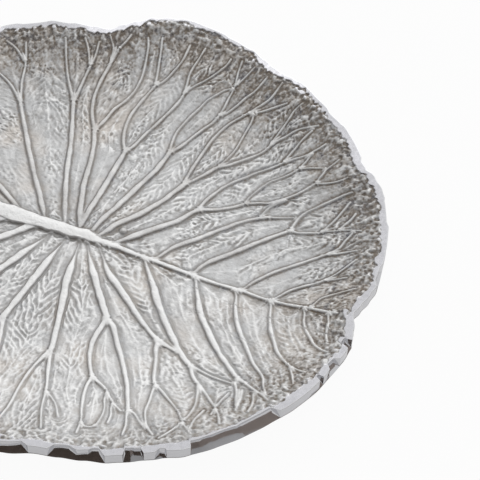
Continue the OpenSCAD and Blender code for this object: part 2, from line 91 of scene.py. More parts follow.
# Veins, from the hub outwards: width in mm at the start and the end, then the course as shares of leaf_r
veins = [
    # The midrib, and the stalk that it thickens into
    (8.2, 4.6, [(0.000, 0.020), (0.030, 0.018), (0.060, 0.018)]),
    (4.6, 3.4, [(0.060, 0.018), (0.100, 0.017), (0.150, 0.015), (0.200, 0.012)]),
    (3.4, 2.0, [(0.200, 0.012), (0.300, 0.010), (0.450, 0.006), (0.560, 0.008), (0.643, 0.000), (0.727, -0.001),
                (0.783, 0.003), (0.838, 0.002), (0.890, 0.003)]),
    (8.2, 12.4, [(0.000, 0.020), (-0.100, 0.016), (-0.250, 0.008), (-0.400, 0.004)]),
    (12.4, 14.0, [(-0.400, 0.004), (-0.550, 0.002), (-0.700, 0.000), (-0.800, 0.000), (-0.865, 0.000)]),
    # The left of the midrib, from the tip back
    (1.8, 1.2, [(0.870, 0.000), (0.882, 0.020), (0.905, 0.043)]),
    (2.4, 1.2, [(0.790, 0.000), (0.803, 0.018), (0.815, 0.050), (0.838, 0.070), (0.870, 0.093), (0.905, 0.115)]),
    (3.0, 1.3, [(0.668, 0.000), (0.690, 0.033), (0.710, 0.060), (0.738, 0.083), (0.760, 0.100), (0.783, 0.117),
                (0.805, 0.140), (0.827, 0.170), (0.843, 0.200), (0.860, 0.232)]),
    (1.6, 0.9, [(0.783, 0.117), (0.815, 0.133), (0.860, 0.155)]),
    (3.6, 1.6, [(0.553, 0.003), (0.565, 0.022), (0.578, 0.050), (0.600, 0.083), (0.628, 0.117), (0.660, 0.145),
                (0.700, 0.180), (0.728, 0.205), (0.755, 0.228), (0.800, 0.248), (0.845, 0.270)]),
    (1.6, 0.9, [(0.755, 0.228), (0.772, 0.245), (0.790, 0.267), (0.795, 0.295), (0.806, 0.333)]),
    (4.2, 3.0, [(0.380, 0.008), (0.392, 0.028), (0.400, 0.055), (0.422, 0.090), (0.450, 0.122), (0.478, 0.155),
                (0.505, 0.190), (0.533, 0.222), (0.560, 0.250), (0.588, 0.278), (0.605, 0.295)]),
    (2.4, 1.2, [(0.605, 0.295), (0.633, 0.290), (0.667, 0.300), (0.700, 0.308), (0.722, 0.322), (0.755, 0.333),
                (0.790, 0.345), (0.830, 0.350)]),
    (1.6, 0.9, [(0.700, 0.308), (0.717, 0.338), (0.730, 0.372), (0.740, 0.410), (0.750, 0.450)]),
    (1.2, 0.8, [(0.755, 0.333), (0.778, 0.380), (0.786, 0.410)]),
    (2.4, 1.2, [(0.605, 0.295), (0.614, 0.350), (0.628, 0.378), (0.647, 0.400), (0.667, 0.422), (0.695, 0.450),
                (0.717, 0.472), (0.740, 0.490)]),
    (4.0, 2.8, [(0.242, 0.011), (0.260, 0.040), (0.278, 0.078), (0.306, 0.117), (0.333, 0.145), (0.372, 0.195),
                (0.400, 0.228), (0.428, 0.260), (0.460, 0.290), (0.490, 0.310), (0.510, 0.320)]),
    (2.2, 1.4, [(0.510, 0.320), (0.550, 0.330), (0.595, 0.345)]),
    (1.6, 1.0, [(0.490, 0.310), (0.500, 0.350), (0.513, 0.370), (0.540, 0.396)]),
    (4.8, 3.6, [(0.085, 0.012), (0.128, 0.060), (0.155, 0.090), (0.190, 0.130), (0.222, 0.167), (0.250, 0.200),
                (0.272, 0.240), (0.290, 0.267)]),
    (2.8, 1.4, [(0.290, 0.267), (0.295, 0.305), (0.306, 0.340), (0.325, 0.385), (0.350, 0.420), (0.383, 0.455),
                (0.405, 0.480), (0.438, 0.508), (0.472, 0.540), (0.505, 0.570), (0.532, 0.590), (0.562, 0.625),
                (0.580, 0.650)]),
    (1.4, 0.9, [(0.472, 0.540), (0.487, 0.600), (0.500, 0.650), (0.516, 0.685)]),
    (3.0, 2.6, [(0.290, 0.267), (0.333, 0.285), (0.367, 0.305), (0.400, 0.328), (0.420, 0.347)]),
    (2.0, 1.4, [(0.420, 0.347), (0.425, 0.377), (0.440, 0.415), (0.460, 0.455), (0.488, 0.480), (0.516, 0.508),
                (0.532, 0.530)]),
    (1.4, 1.0, [(0.532, 0.530), (0.543, 0.560), (0.550, 0.595)]),
    (1.4, 0.9, [(0.532, 0.530), (0.560, 0.543), (0.588, 0.550), (0.610, 0.555)]),
    (2.4, 1.8, [(0.420, 0.347), (0.440, 0.355), (0.467, 0.367), (0.495, 0.375), (0.522, 0.395), (0.550, 0.417),
                (0.577, 0.445), (0.610, 0.490)]),
    (1.6, 0.9, [(0.610, 0.490), (0.620, 0.532), (0.625, 0.555), (0.640, 0.580), (0.650, 0.600)]),
    (1.5, 0.9, [(0.610, 0.490), (0.645, 0.500), (0.678, 0.515), (0.705, 0.537)]),
    (4.6, 3.6, [(0.028, 0.012), (0.053, 0.060), (0.072, 0.100), (0.100, 0.140), (0.128, 0.180), (0.150, 0.222),
                (0.166, 0.255), (0.180, 0.290), (0.202, 0.348)]),
    (2.8, 1.3, [(0.202, 0.348), (0.197, 0.392), (0.200, 0.467), (0.207, 0.547), (0.218, 0.590), (0.232, 0.625),
                (0.252, 0.657), (0.274, 0.685), (0.299, 0.722), (0.318, 0.750), (0.330, 0.775), (0.343, 0.835)]),
    (1.6, 0.9, [(0.274, 0.685), (0.300, 0.698), (0.332, 0.720), (0.363, 0.745), (0.390, 0.765)]),
    (1.6, 1.4, [(0.272, 0.455), (0.282, 0.480), (0.293, 0.515), (0.300, 0.547), (0.302, 0.600), (0.305, 0.660),
                (0.300, 0.698)]),
    (3.0, 1.6, [(0.202, 0.348), (0.225, 0.380), (0.250, 0.420), (0.272, 0.455), (0.300, 0.475), (0.327, 0.500),
                (0.360, 0.530), (0.388, 0.560), (0.402, 0.587), (0.416, 0.615), (0.438, 0.642), (0.457, 0.668),
                (0.477, 0.687), (0.500, 0.698), (0.527, 0.710)]),
    (1.8, 1.0, [(0.402, 0.587), (0.405, 0.610), (0.413, 0.655), (0.422, 0.710), (0.427, 0.748), (0.443, 0.777)]),
    (4.4, 3.4, [(0.008, 0.012), (0.020, 0.100), (0.040, 0.170), (0.060, 0.250), (0.075, 0.310), (0.090, 0.370),
                (0.095, 0.420), (0.098, 0.456)]),
    (2.6, 1.3, [(0.098, 0.456), (0.088, 0.497), (0.083, 0.547), (0.090, 0.585), (0.100, 0.625), (0.113, 0.660),
                (0.125, 0.700), (0.145, 0.730), (0.163, 0.755), (0.193, 0.775)]),
    (2.8, 2.0, [(0.098, 0.456), (0.120, 0.490), (0.143, 0.547), (0.163, 0.590), (0.180, 0.620), (0.190, 0.650)]),
    (2.2, 1.2, [(0.190, 0.650), (0.193, 0.690), (0.192, 0.730), (0.193, 0.775), (0.180, 0.835), (0.175, 0.880)]),
    (1.4, 0.9, [(0.193, 0.775), (0.213, 0.825), (0.227, 0.865)]),
    (2.0, 1.0, [(0.190, 0.650), (0.210, 0.670), (0.232, 0.710), (0.248, 0.747), (0.265, 0.775), (0.274, 0.800),
                (0.285, 0.840)]),
    (4.4, 3.6, [(-0.028, 0.012), (-0.035, 0.100), (-0.035, 0.200), (-0.037, 0.300), (-0.040, 0.405)]),
    (2.8, 2.2, [(-0.040, 0.405), (-0.060, 0.430), (-0.080, 0.480), (-0.088, 0.520), (-0.090, 0.560),
                (-0.085, 0.600), (-0.075, 0.650), (-0.065, 0.690)]),
    (2.0, 1.1, [(-0.065, 0.690), (-0.080, 0.745), (-0.100, 0.810), (-0.120, 0.870)]),
    (2.0, 1.1, [(-0.065, 0.690), (-0.045, 0.720), (-0.030, 0.770), (-0.020, 0.820), (-0.020, 0.880)]),
    (2.8, 2.2, [(-0.040, 0.405), (-0.025, 0.430), (-0.010, 0.500), (0.005, 0.547), (0.016, 0.587), (0.027, 0.625),
                (0.036, 0.658), (0.040, 0.690)]),
    (2.0, 1.0, [(0.040, 0.690), (0.035, 0.730), (0.025, 0.780), (0.030, 0.840), (0.035, 0.885)]),
    (1.8, 1.0, [(0.040, 0.690), (0.055, 0.730), (0.085, 0.770), (0.110, 0.810), (0.130, 0.850), (0.135, 0.875)]),
    (4.2, 3.4, [(-0.022, 0.015), (-0.050, 0.080), (-0.075, 0.140), (-0.100, 0.210), (-0.115, 0.270),
                (-0.130, 0.330), (-0.148, 0.385), (-0.173, 0.441)]),
    (2.8, 2.0, [(-0.173, 0.441), (-0.210, 0.500), (-0.232, 0.560), (-0.238, 0.620), (-0.235, 0.700),
                (-0.235, 0.760)]),
    (1.8, 1.0, [(-0.235, 0.760), (-0.222, 0.800), (-0.218, 0.830)]),
    (1.6, 0.9, [(-0.238, 0.700), (-0.250, 0.755), (-0.280, 0.790)]),
    (2.8, 1.2, [(-0.173, 0.441), (-0.160, 0.492), (-0.150, 0.550), (-0.130, 0.600), (-0.120, 0.650),
                (-0.120, 0.700), (-0.130, 0.750), (-0.150, 0.820), (-0.165, 0.850)]),
    (4.0, 3.2, [(-0.075, 0.015), (-0.090, 0.050), (-0.160, 0.200), (-0.230, 0.380), (-0.290, 0.520)]),
    (2.8, 1.2, [(-0.290, 0.520), (-0.295, 0.620), (-0.295, 0.700), (-0.305, 0.755)]),
    (1.8, 0.9, [(-0.295, 0.660), (-0.330, 0.720), (-0.355, 0.750)]),
    (2.6, 1.2, [(-0.290, 0.520), (-0.350, 0.600), (-0.385, 0.660), (-0.420, 0.730)]),
    (4.2, 3.2, [(-0.140, 0.010), (-0.210, 0.110), (-0.280, 0.200), (-0.380, 0.340), (-0.450, 0.440)]),
    (2.6, 1.2, [(-0.450, 0.440), (-0.485, 0.520), (-0.505, 0.590), (-0.540, 0.665)]),
    (2.6, 1.2, [(-0.450, 0.440), (-0.510, 0.490), (-0.580, 0.520), (-0.650, 0.550)]),
    (1.6, 0.9, [(-0.505, 0.590), (-0.560, 0.630), (-0.600, 0.640)]),
    (4.2, 3.2, [(-0.215, 0.010), (-0.310, 0.070), (-0.410, 0.130), (-0.550, 0.250)]),
    (2.6, 1.2, [(-0.550, 0.250), (-0.610, 0.320), (-0.660, 0.360), (-0.740, 0.425)]),
    (2.6, 1.2, [(-0.550, 0.250), (-0.630, 0.265), (-0.720, 0.285), (-0.810, 0.308)]),
    (1.6, 0.9, [(-0.630, 0.333), (-0.640, 0.400), (-0.670, 0.460)]),
    (3.6, 1.6, [(-0.320, 0.010), (-0.440, 0.055), (-0.560, 0.090), (-0.710, 0.130), (-0.835, 0.158)]),
    (1.6, 0.9, [(-0.620, 0.106), (-0.700, 0.175), (-0.790, 0.210)]),
    # The right of the midrib, from the tip back
    (3.2, 2.2, [(0.866, -0.010), (0.884, -0.048)]),
    (1.6, 1.0, [(0.880, -0.050), (0.890, -0.085), (0.905, -0.110)]),
    (2.6, 1.1, [(0.775, 0.000), (0.790, -0.020), (0.800, -0.050), (0.820, -0.080), (0.845, -0.105),
                (0.870, -0.130), (0.900, -0.145), (0.920, -0.150)]),
    (3.0, 1.1, [(0.660, 0.000), (0.675, -0.020), (0.685, -0.050), (0.700, -0.085), (0.720, -0.120),
                (0.745, -0.155), (0.770, -0.190), (0.800, -0.215), (0.830, -0.235), (0.860, -0.245),
                (0.890, -0.250)]),
    (1.2, 0.8, [(0.830, -0.235), (0.840, -0.250), (0.860, -0.280), (0.875, -0.310)]),
    (3.4, 1.2, [(0.538, 0.003), (0.555, -0.020), (0.565, -0.050), (0.580, -0.080), (0.600, -0.115),
                (0.630, -0.155), (0.660, -0.190), (0.690, -0.225), (0.720, -0.260), (0.750, -0.285),
                (0.775, -0.310), (0.788, -0.340), (0.810, -0.370)]),
    (4.0, 2.4, [(0.400, 0.006), (0.425, -0.040), (0.450, -0.080), (0.475, -0.120), (0.505, -0.155),
                (0.533, -0.185), (0.566, -0.219), (0.600, -0.252), (0.633, -0.280), (0.666, -0.308),
                (0.694, -0.330), (0.722, -0.344)]),
    (1.8, 1.1, [(0.722, -0.344), (0.760, -0.363), (0.800, -0.380), (0.830, -0.400)]),
    (1.8, 1.0, [(0.694, -0.330), (0.705, -0.363), (0.720, -0.390), (0.733, -0.425), (0.747, -0.455)]),
    (4.4, 3.0, [(0.215, 0.010), (0.240, -0.020), (0.265, -0.050), (0.295, -0.085), (0.320, -0.120),
                (0.350, -0.155), (0.380, -0.190), (0.410, -0.220), (0.440, -0.250), (0.470, -0.280),
                (0.500, -0.308), (0.533, -0.330)]),
    (2.2, 1.2, [(0.533, -0.330), (0.572, -0.344), (0.617, -0.355), (0.656, -0.360), (0.694, -0.363)]),
    (2.4, 1.2, [(0.533, -0.330), (0.566, -0.375), (0.594, -0.400), (0.628, -0.425), (0.660, -0.452),
                (0.690, -0.480), (0.711, -0.505), (0.730, -0.540)]),
    (1.8, 1.0, [(0.594, -0.400), (0.614, -0.450), (0.625, -0.490), (0.625, -0.533), (0.615, -0.590)]),
    (4.4, 2.6, [(0.050, 0.005), (0.100, -0.050), (0.130, -0.085), (0.170, -0.115), (0.210, -0.145),
                (0.250, -0.175), (0.290, -0.205), (0.330, -0.235), (0.370, -0.260), (0.410, -0.280),
                (0.470, -0.295)]),
    (2.8, 2.0, [(0.400, -0.277), (0.410, -0.313), (0.425, -0.347), (0.440, -0.385), (0.455, -0.425),
                (0.472, -0.450)]),
    (2.0, 1.0, [(0.472, -0.450), (0.500, -0.467), (0.533, -0.490), (0.561, -0.510), (0.590, -0.533)]),
    (1.8, 1.0, [(0.472, -0.450), (0.478, -0.490), (0.486, -0.522), (0.490, -0.555), (0.500, -0.583),
                (0.530, -0.630), (0.560, -0.655)]),
    (1.2, 0.8, [(0.330, -0.680), (0.355, -0.705), (0.383, -0.690)]),
    (1.3, 0.8, [(0.590, -0.533), (0.625, -0.575), (0.665, -0.610)]),
    (1.3, 0.8, [(0.615, -0.590), (0.600, -0.630), (0.585, -0.665)]),
    (1.3, 0.8, [(0.735, -0.380), (0.748, -0.425), (0.752, -0.470)]),
    (1.3, 0.8, [(0.775, -0.385), (0.790, -0.425), (0.792, -0.465)]),
    (1.2, 0.8, [(0.700, -0.405), (0.690, -0.455), (0.688, -0.510)]),
    (1.2, 0.8, [(0.660, -0.500), (0.650, -0.550), (0.655, -0.590)]),
    (4.4, 3.4, [(0.010, 0.005), (0.050, -0.055), (0.085, -0.100), (0.115, -0.140), (0.150, -0.185),
                (0.180, -0.220), (0.205, -0.250), (0.215, -0.265)]),
    (3.2, 2.4, [(0.215, -0.265), (0.213, -0.300), (0.212, -0.350), (0.220, -0.390), (0.235, -0.430),
                (0.258, -0.470), (0.278, -0.497)]),
    (2.2, 1.2, [(0.278, -0.497), (0.278, -0.533), (0.286, -0.572), (0.300, -0.610), (0.314, -0.645),
                (0.330, -0.680), (0.345, -0.740)]),
    (2.2, 1.3, [(0.278, -0.497), (0.305, -0.510), (0.340, -0.528), (0.367, -0.555), (0.394, -0.578),
                (0.422, -0.595)]),
    (1.4, 0.9, [(0.345, -0.533), (0.355, -0.570), (0.372, -0.605), (0.380, -0.640), (0.383, -0.680)]),
    (1.3, 0.9, [(0.385, -0.570), (0.390, -0.595), (0.405, -0.628), (0.410, -0.660)]),
    (3.2, 2.2, [(0.215, -0.265), (0.245, -0.285), (0.270, -0.315), (0.295, -0.350), (0.320, -0.380),
                (0.345, -0.415), (0.370, -0.450), (0.395, -0.490), (0.411, -0.522), (0.428, -0.555),
                (0.442, -0.583)]),
    (1.6, 1.0, [(0.442, -0.583), (0.450, -0.610), (0.467, -0.650), (0.475, -0.690)]),
    (1.6, 1.0, [(0.442, -0.583), (0.467, -0.590), (0.490, -0.610), (0.520, -0.635)]),
    (4.4, 3.2, [(-0.010, 0.000), (0.008, -0.080), (0.030, -0.180), (0.058, -0.270), (0.080, -0.340),
                (0.110, -0.450)]),
    (2.6, 1.2, [(0.110, -0.450), (0.140, -0.530), (0.170, -0.600), (0.200, -0.690), (0.240, -0.770)]),
    (2.6, 1.2, [(0.110, -0.450), (0.092, -0.530), (0.090, -0.620), (0.102, -0.720), (0.100, -0.815)]),
    (1.6, 0.9, [(0.175, -0.612), (0.225, -0.650), (0.262, -0.700)]),
    (4.4, 3.4, [(-0.050, 0.000), (-0.062, -0.100), (-0.070, -0.200), (-0.090, -0.390)]),
    (2.8, 1.2, [(-0.090, -0.390), (-0.060, -0.470), (-0.040, -0.560), (-0.048, -0.680), (-0.030, -0.815)]),
    (2.8, 1.2, [(-0.090, -0.390), (-0.130, -0.480), (-0.150, -0.560), (-0.155, -0.680), (-0.180, -0.800)]),
    (1.8, 0.9, [(-0.046, -0.650), (0.000, -0.720), (0.028, -0.800)]),
    (4.4, 3.4, [(-0.100, 0.000), (-0.140, -0.100), (-0.180, -0.200), (-0.260, -0.400)]),
    (2.8, 1.2, [(-0.260, -0.400), (-0.272, -0.490), (-0.290, -0.580), (-0.305, -0.660), (-0.330, -0.740)]),
    (2.8, 1.2, [(-0.260, -0.400), (-0.320, -0.480), (-0.370, -0.560), (-0.460, -0.690)]),
    (1.6, 0.9, [(-0.290, -0.580), (-0.250, -0.680), (-0.245, -0.770)]),
    (4.4, 3.4, [(-0.165, 0.000), (-0.240, -0.090), (-0.310, -0.180), (-0.430, -0.320)]),
    (2.8, 1.2, [(-0.430, -0.320), (-0.460, -0.400), (-0.500, -0.460), (-0.580, -0.595)]),
    (2.8, 1.2, [(-0.430, -0.320), (-0.500, -0.370), (-0.570, -0.410), (-0.680, -0.485)]),
    (4.2, 3.2, [(-0.250, 0.000), (-0.340, -0.070), (-0.450, -0.130), (-0.580, -0.220)]),
    (2.6, 1.2, [(-0.580, -0.220), (-0.640, -0.280), (-0.700, -0.320), (-0.775, -0.385)]),
    (2.6, 1.2, [(-0.580, -0.220), (-0.650, -0.240), (-0.720, -0.250), (-0.820, -0.263)]),
    (3.6, 1.4, [(-0.340, 0.000), (-0.460, -0.045), (-0.590, -0.080), (-0.730, -0.115), (-0.840, -0.135)]),
    (1.6, 0.9, [(-0.640, -0.092), (-0.730, -0.165), (-0.800, -0.190)]),
]
# Bare land between the relief and the rim's edge, by share of the turn: its width in mm, and what is added to it
land_shares = [(0.000, 1.2), (0.012, 2.6), (0.030, 2.4), (0.058, 2.9), (0.072, 2.7), (0.086, 3.2), (0.099, 2.8),
               (0.110, 3.6), (0.124, 2.8), (0.138, 2.4), (0.151, 1.9), (0.165, 1.3), (0.182, 1.5), (0.196, 3.6),
               (0.206, 2.6), (0.216, 1.2), (0.233, 1.7), (0.250, 2.0), (0.265, 1.3), (0.280, 1.4), (0.305, 3.0),
               (0.330, 1.8), (0.370, 2.4), (0.398, 3.2), (0.430, 2.0), (0.480, 2.8), (0.540, 2.0), (0.606, 3.2),
               (0.660, 2.0), (0.703, 3.0), (0.750, 2.0), (0.797, 2.8), (0.824, 2.4), (0.846, 2.0), (0.862, 1.8),
               (0.880, 2.2), (0.900, 2.0), (0.920, 1.6), (0.940, 2.4), (0.960, 2.8), (0.975, 2.0), (0.988, 3.0),
               (1.000, 1.2)]
wider_shares = [(0, 0.6), (0.02, 0.4), (0.05, 0.4), (0.75, 0.5), (0.82, 1.2), (0.88, 2.2), (0.93, 1.4), (1, 0.9)]
# The wall's flats: share of the turn, and how far down its upright part reaches before it flares out
flat_shares = [
    (0.000, 1.00), (0.020, 1.00), (0.024, 0.55), (0.033, 0.60), (0.036, 1.00), (0.060, 1.00), (0.064, 0.35),
    (0.078, 0.50), (0.081, 1.00), (0.098, 1.00), (0.101, 0.30), (0.108, 0.30), (0.112, 0.90), (0.135, 1.00),
    (0.139, 0.55), (0.150, 0.45), (0.154, 1.00), (0.176, 1.00), (0.180, 0.40), (0.192, 0.30), (0.196, 1.00),
    (0.215, 1.00), (0.219, 0.60), (0.233, 0.50), (0.236, 1.00), (0.262, 1.00), (0.266, 0.40), (0.277, 0.55),
    (0.280, 1.00), (0.297, 1.00), (0.301, 0.25), (0.309, 0.35), (0.313, 1.00), (0.340, 1.00), (0.344, 0.55),
    (0.358, 0.45), (0.362, 1.00), (0.385, 1.00), (0.389, 0.30), (0.401, 0.35), (0.405, 1.00), (0.432, 1.00),
    (0.436, 0.60), (0.450, 0.50), (0.454, 1.00), (0.475, 1.00), (0.479, 0.35), (0.490, 0.30), (0.494, 1.00),
    (0.520, 1.00), (0.524, 0.45), (0.538, 0.55), (0.542, 1.00), (0.568, 1.00), (0.572, 0.30), (0.583, 0.40),
    (0.587, 1.00), (0.604, 1.00), (0.608, 0.35), (0.616, 0.30), (0.620, 1.00), (0.648, 1.00), (0.652, 0.55),
    (0.664, 0.50), (0.668, 1.00), (0.690, 1.00), (0.694, 0.30), (0.706, 0.35), (0.710, 1.00), (0.735, 1.00),
    (0.739, 0.45), (0.752, 0.55), (0.756, 1.00), (0.775, 1.00), (0.779, 0.40), (0.790, 0.30), (0.794, 0.95),
    (0.804, 1.00), (0.808, 0.40), (0.816, 0.30), (0.820, 0.62), (0.826, 0.55), (0.8285, 0.28), (0.8318, 0.22),
    (0.8345, 1.00), (0.8434, 1.00), (0.8452, 0.20), (0.8480, 0.26), (0.8500, 0.45), (0.8532, 0.48), (0.8540, 1.00),
    (0.8590, 1.00), (0.8625, 0.66), (0.8650, 0.70), (0.8656, 1.00), (0.8770, 1.00), (0.8784, 0.22), (0.8850, 0.26),
    (0.8900, 0.34), (0.8975, 0.30), (0.9035, 0.36), (0.9060, 0.22), (0.9150, 0.18), (0.9235, 0.20), (0.9265, 0.95),
    (0.9300, 1.00), (0.9430, 1.00), (0.9480, 0.92), (0.9532, 0.92), (0.9540, 0.42), (0.9556, 0.40), (0.9564, 1.00),
    (0.9620, 0.90), (0.9640, 0.55), (0.9690, 0.60), (0.9710, 1.00), (0.9785, 1.00), (0.9796, 0.26), (0.9830, 0.30),
    (0.9840, 1.00), (1.000, 1.00)]
# How deep the flats are cut, and how far they lean out
cut_shares = [(0, 1), (0.02, 0.9), (0.04, 0.35), (0.75, 0.35), (0.80, 1), (1, 1)]
lean_shares = [(0.000, 0.80), (0.820, 0.80), (0.8475, 0.80), (0.8495, 0.98), (0.860, 0.98), (0.864, 0.80),
               (0.883, 0.80), (0.888, 0.95), (0.902, 0.95), (0.906, 0.80), (0.930, 0.80), (0.950, 0.90),
               (0.960, 0.92), (0.963, 1.15), (0.970, 1.15), (0.974, 0.96), (0.985, 0.96), (1.000, 0.80)]
# By share of the turn: how ragged the relief's edge is, how strong the patina is towards the rim, and where it starts
ragged_shares = [(0, 0.9), (0.05, 0.9), (0.12, 1), (0.50, 1), (0.62, 0.8), (0.75, 0.35), (0.88, 0.35), (0.93, 0.7),
                 (1, 0.9)]
patina_shares = [(0.00, 0.88), (0.02, 0.76), (0.06, 0.77), (0.14, 1.00), (0.25, 1.00), (0.40, 0.90), (0.60, 0.62),
                 (0.75, 0.36), (0.84, 0.38), (0.90, 0.62), (0.94, 0.88), (1.00, 0.94)]
patina_starts = [(0, 0.71), (0.03, 0.79), (0.10, 0.79), (0.16, 0.72), (1, 0.70)]


def soft(low, high, value):
    u = np.clip((value - low) / (high - low), 0, 1)
    return u * u * (3 - 2 * u)


def at_turn(turn, shares):
    return np.interp(turn, *np.transpose(shares))


def rim_r(turn):
    i = np.clip(np.searchsorted(outline_shares[:, 0], turn), 1, len(outline_shares) - 1)
    a, b = outline_shares[i - 1], outline_shares[i]
    return leaf_r * (a[..., 1] + (b[..., 1] - a[..., 1]) * soft(a[..., 0], b[..., 0], turn)) - skin_in


def rim_top(turn):
    wave = sum(w * np.cos(2 * np.pi * n * (turn - first)) for n, first, w in rim_waves)
    return rim_z + 0.8 * wave - skin_down


def flat_at(turn):
    return np.minimum(1 - (1 - at_turn(turn, flat_shares)) * at_turn(turn, cut_shares), 0.97)


def flare_at(turn):
    return at_turn(turn, lean_shares) * band_h * (1 - flat_at(turn))


def leaf_top(turn, share):
    rise = np.clip((share - floor_share) / (1 - floor_share), 0, 2) ** side_curve
    return floor_z + (rim_top(turn) - floor_z) * rise


# An even random pattern between -1 and 1 with knots a size apart, and its zero lines raised as threads
def grain(x, y, size, seed, knots=128):
    table = np.random.default_rng(seed).uniform(-1, 1, (knots, knots))
    gx, gy = x / size, y / size
    ix, iy = np.floor(gx).astype(int), np.floor(gy).astype(int)
    fx, fy = soft(0, 1, gx - ix), soft(0, 1, gy - iy)
    rows = [table[(iy + k) % knots, ix % knots] * (1 - fx) + table[(iy + k) % knots, (ix + 1) % knots] * fx
            for k in (0, 1)]
    return rows[0] * (1 - fy) + rows[1] * fy


def threads(x, y, size, seed, power):
    return (1 - np.abs(grain(x, y, size, seed))) ** power


# A vein's course as a smooth line through its points, in mm
def smooth_course(points, step=1.8):
    p = np.array(points) * leaf_r
    p = np.vstack([2 * p[0] - p[1], p, 2 * p[-1] - p[-2]])
    line = []
    for k in range(1, len(p) - 2):
        count = max(2, int(np.linalg.norm(p[k + 1] - p[k]) / step))
        for u in np.arange(count) / count:
            line.append(0.5 * (2 * p[k] + (p[k + 1] - p[k - 1]) * u
                               + (2 * p[k - 1] - 5 * p[k] + 4 * p[k + 1] - p[k + 2]) * u ** 2
                               + (3 * p[k] - p[k - 1] - 3 * p[k + 1] + p[k + 2]) * u ** 3))
    return np.array(line + [p[-2]])


# For each place: the distance to a line, how far along the line that is, the line's point there, and its length
def nearest_on(line, px, py):
    best, at = np.full(px.shape, 1e9), np.zeros_like(px)
    foot_x, foot_y = np.zeros_like(px), np.zeros_like(px)
    run = 0.0
    for a, b in zip(line[:-1], line[1:]):
        d = b - a
        length = np.hypot(*d)
        k = np.clip(((px - a[0]) * d[0] + (py - a[1]) * d[1]) / length ** 2, 0, 1)
        qx, qy = a[0] + k * d[0], a[1] + k * d[1]
        gap = np.hypot(px - qx, py - qy)
        closer = gap < best
        best = np.where(closer, gap, best)
        at = np.where(closer, run + k * length, at)
        foot_x, foot_y = np.where(closer, qx, foot_x), np.where(closer, qy, foot_y)
        run += length
    return best, at, foot_x, foot_y, run


# Places on the leaf: a square grid pressed round, so that its edge follows the lobes of the rim
part_cells = 290
half = 3 * part_cells // 2
u, v = np.meshgrid(np.linspace(-1, 1, 2 * half + 1), np.linspace(-1, 1, 2 * half + 1))
wide = np.abs(u) >= np.abs(v)
lead = np.where(wide, u, v)
swing = np.pi / 4 * np.divide(np.where(wide, v, u), lead, out=np.zeros_like(lead), where=lead != 0)
ux = lead * np.where(wide, np.cos(swing), np.sin(swing))
uy = lead * np.where(wide, np.sin(swing), np.cos(swing))
turn = np.arctan2(uy, ux) / (2 * np.pi) % 1
reach = np.hypot(ux, uy) * (rim_r(turn) - flare_at(turn) - seam_in)
x, y = reach * np.cos(2 * np.pi * turn), reach * np.sin(2 * np.pi * turn)
share = reach / (rim_r(turn) - land_w)

# The veins' ridges, and for every place its distance from the edge of the nearest vein and of the second nearest,
# the vein's point there, how far along the vein that is, and a phase that differs from vein to vein. The courses
# were drawn along the crests as seen from the front, so their feet are moved a little to the front.
to_front = np.array([0.407, -0.914])
thinnest, tallest, phase_step, vein_reach = 1.45, 2.2, 1.7, 14
flat_x, flat_y = x.ravel(), y.ravel()
near = np.full(flat_x.shape, 60.0)
second = near.copy()
near_x, near_y, along, phase, ridge = (np.zeros_like(near) for _ in range(5))
for number, (start_w, end_w, points) in enumerate(veins):
    line = smooth_course(points)
    slim = 1.06 if line[:, 1].mean() < -4 else 0.86
    start_w, end_w = slim * start_w, slim * end_w
    out = np.hypot(line[:, 0], line[:, 1]) / leaf_r
    line = line + 0.84 * (0.7 + 0.22 * start_w + 2.2 * soft(0.68, 0.95, out))[:, None] * to_front
    low, high = line.min(0) - vein_reach, line.max(0) + vein_reach
    pick = np.nonzero((flat_x > low[0]) & (flat_x < high[0]) & (flat_y > low[1]) & (flat_y < high[1]))[0]
    px, py = flat_x[pick], flat_y[pick]
    best, at, foot_x, foot_y, run = nearest_on(line, px, py)
    width = np.maximum(start_w + (end_w - start_w) * at / run, thinnest) * (1 + 0.14 * grain(px, py, 5.0, 44))
    # A side vein is slimmer where it leaves the midrib
    (start_x, start_y), end_y = points[0], points[-1][1]
    if abs(start_y) < 0.019 and end_y > 0.02:
        width = width * (0.60 + 0.40 * soft(2.0, 16.0, at))
    elif abs(start_x) < 0.16 and abs(start_y) < 0.05 and end_y < -0.05:
        width = width * (0.10 + 0.90 * soft(5.0, 24.0, at))
    elif start_x > 0.16 and abs(start_y) < 0.05 and end_y < -0.04:
        width = width * (0.42 + 0.58 * soft(2.0, 24.0, at))
    height = np.minimum(0.26 + 0.27 * width, tallest)
    gap = best - width / 2 * (1 + 0.10 * grain(px, py, 3.1, 40))
    rise = height * soft(0.30, -0.60, gap) * (1 - 0.20 * (best / (0.5 * width)) ** 2)
    ridge[pick] = np.maximum(ridge[pick], rise)
    old, old_x, old_y = near[pick], near_x[pick], near_y[pick]
    apart = np.hypot(foot_x - old_x, foot_y - old_y) > 0.9 * np.minimum(gap, old) + 1.0
    first = gap < old
    second[pick] = np.where(first & apart, old,
                            np.where(~first & apart, np.minimum(second[pick], gap), second[pick]))
    near[pick] = np.where(first, gap, old)
    near_x[pick], near_y[pick] = np.where(first, foot_x, old_x), np.where(first, foot_y, old_y)
    along[pick] = np.where(first, at, along[pick])
    phase[pick] = np.where(first, phase_step * number, phase[pick])
near, second, near_x, near_y, along, phase, ridge = (
    field.reshape(x.shape) for field in (near, second, near_x, near_y, along, phase, ridge))

# Metal that fills the crotch of every fork, and a bead where the veins of one side meet
fill_r, bead_x, bead_y, bead_r = 1.3, 16.7, 12.2, 2.0
web = np.exp(-(np.maximum(near, 0) ** 2 + np.maximum(second, 0) ** 2) / fill_r ** 2)
ridge = np.maximum(ridge, web * soft(0.05, 0.5, web))
ridge = np.maximum(ridge, 1.7 * np.exp(-(np.hypot(x - bead_x, y - bead_y) / bead_r) ** 4))

